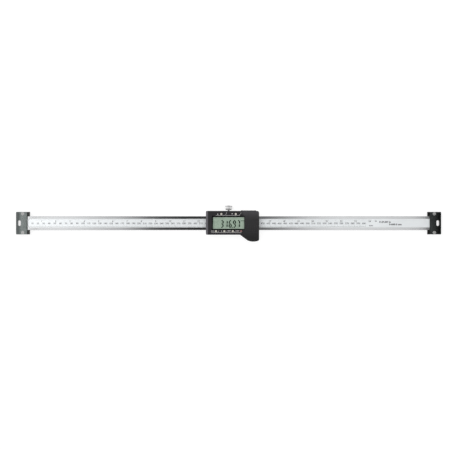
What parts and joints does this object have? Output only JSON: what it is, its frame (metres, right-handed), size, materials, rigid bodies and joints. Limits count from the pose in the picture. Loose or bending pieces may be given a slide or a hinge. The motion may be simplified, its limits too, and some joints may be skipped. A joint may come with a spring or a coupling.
{
  "type": "digital linear scale",
  "caption": "Long steel measuring beam with graduated strip between slotted end brackets, carrying a sliding display head with buttons, thumb lock screw and battery cover.",
  "frame": {"origin": "midway between the end brackets on the beam's middle, in the plane of the brackets' backs", "axes": "+X along the beam towards the scale's high end, +Y to the top of the display, +Z out of the display"},
  "size_m": [0.756, 0.0647, 0.0224],
  "materials": {
    "ground_steel": "ground and polished",
    "circuit_board": "lacquered glass fibre board",
    "white_film": "satin printed film",
    "black_anodised": "black anodised, fine blasted",
    "nickel_screws": "nickel plated",
    "zinc_screws": "zinc plated",
    "cast_alloy": "machined casting",
    "brass_alloy": "drawn brass",
    "chromed_steel": "satin chrome, knurled rim",
    "black_plastic": "fine moulded grain",
    "printed_film": "satin printed film",
    "clear_lens": "clear polished",
    "display_glass": "reflective liquid crystal panel",
    "white_plastic": "moulded",
    "connector_plastic": "moulded",
    "conductive_rubber": "layered silicone",
    "black_epoxy": "cast drop",
    "spring_metal": "nickel plated spring strip",
    "cell_steel": "drawn can",
    "gold_plating": "gold plated",
    "pale_plastic": "moulded",
    "red_plastic": "moulded"
  },
  "bodies": {
    "frame": {"beam": "ground_steel", "stator_strip": "circuit_board", "scale_label": "white_film", "left_bracket_base": "black_anodised", "left_bracket_cap": "black_anodised", "left_cap_screws": "nickel_screws", "left_beam_screws": "zinc_screws", "right_bracket_base": "black_anodised", "right_bracket_cap": "black_anodised", "right_cap_screws": "nickel_screws", "right_beam_screws": "zinc_screws"},
    "slider": {"carriage": "cast_alloy", "back_plate": "cast_alloy", "back_plate_screws": "zinc_screws", "gib_strip": "brass_alloy", "gib_screws": "zinc_screws", "front_housing": "black_plastic", "housing_screws": "zinc_screws", "front_film": "printed_film", "display_lens": "clear_lens", "display_holder": "white_plastic", "display_panel": "display_glass", "zebra_strip": "conductive_rubber", "main_board": "circuit_board", "board_screws": "zinc_screws", "sensor_board": "circuit_board", "board_headers": "connector_plastic", "controller_chip": "black_epoxy", "dome_switches": "spring_metal", "coin_cell": "cell_steel", "battery_tray": "connector_plastic", "negative_contact": "spring_metal", "positive_contact": "spring_metal", "data_contacts": "gold_plating"},
    "lock_plunger": {"lock_pad": "brass_alloy"},
    "lock_knob": {"lock_screw": "chromed_steel"},
    "battery_door": {"battery_cover": "black_plastic"},
    "port_door": {"data_port_cover": "black_plastic"},
    "preset_up_key": {"preset_up_button": "pale_plastic"},
    "preset_down_key": {"preset_down_button": "pale_plastic"},
    "units_key": {"units_button": "pale_plastic"},
    "zero_key": {"zero_button": "pale_plastic"},
    "set_key": {"set_button": "pale_plastic"},
    "power_key": {"power_button": "red_plastic"}
  },
  "joints": [
    {"name": "head_slide", "type": "slide", "parent": "frame", "child": "slider", "axis": [1, 0, 0], "range_m": [-0.3127, 0.2988]},
    {"name": "lock_travel", "type": "slide", "parent": "slider", "child": "lock_plunger", "axis": [0, 1, 0], "range_m": [-0.00027, 0.0007]},
    {"name": "lock_turn", "type": "hinge", "parent": "lock_plunger", "child": "lock_knob", "pos_m": [0, 0.02, 0.0071], "axis": [0, 1, 0], "range_deg": [-140, 361]},
    {"name": "battery_door_slide", "type": "slide", "parent": "slider", "child": "battery_door", "axis": [1, 0, 0], "range_m": [0, 0.026]},
    {"name": "port_door_slide", "type": "slide", "parent": "slider", "child": "port_door", "axis": [-1, 0, 0], "range_m": [0, 0.0129]},
    {"name": "preset_up_press", "type": "slide", "parent": "slider", "child": "preset_up_key", "axis": [0, 0, -1], "range_m": [0, 0.0004], "stiffness_N_per_m": 600},
    {"name": "preset_down_press", "type": "slide", "parent": "slider", "child": "preset_down_key", "axis": [0, 0, -1], "range_m": [0, 0.0004], "stiffness_N_per_m": 600},
    {"name": "units_press", "type": "slide", "parent": "slider", "child": "units_key", "axis": [0, 0, -1], "range_m": [0, 0.0004], "stiffness_N_per_m": 600},
    {"name": "zero_press", "type": "slide", "parent": "slider", "child": "zero_key", "axis": [0, 0, -1], "range_m": [0, 0.0004], "stiffness_N_per_m": 600},
    {"name": "set_press", "type": "slide", "parent": "slider", "child": "set_key", "axis": [0, 0, -1], "range_m": [0, 0.0004], "stiffness_N_per_m": 600},
    {"name": "power_press", "type": "slide", "parent": "slider", "child": "power_key", "axis": [0, 0, -1], "range_m": [0, 0.0004], "stiffness_N_per_m": 600}
  ],
  "couplings": [
    {"joint": "lock_turn", "follows": "lock_travel", "rad_per_m": 8976}
  ]
}
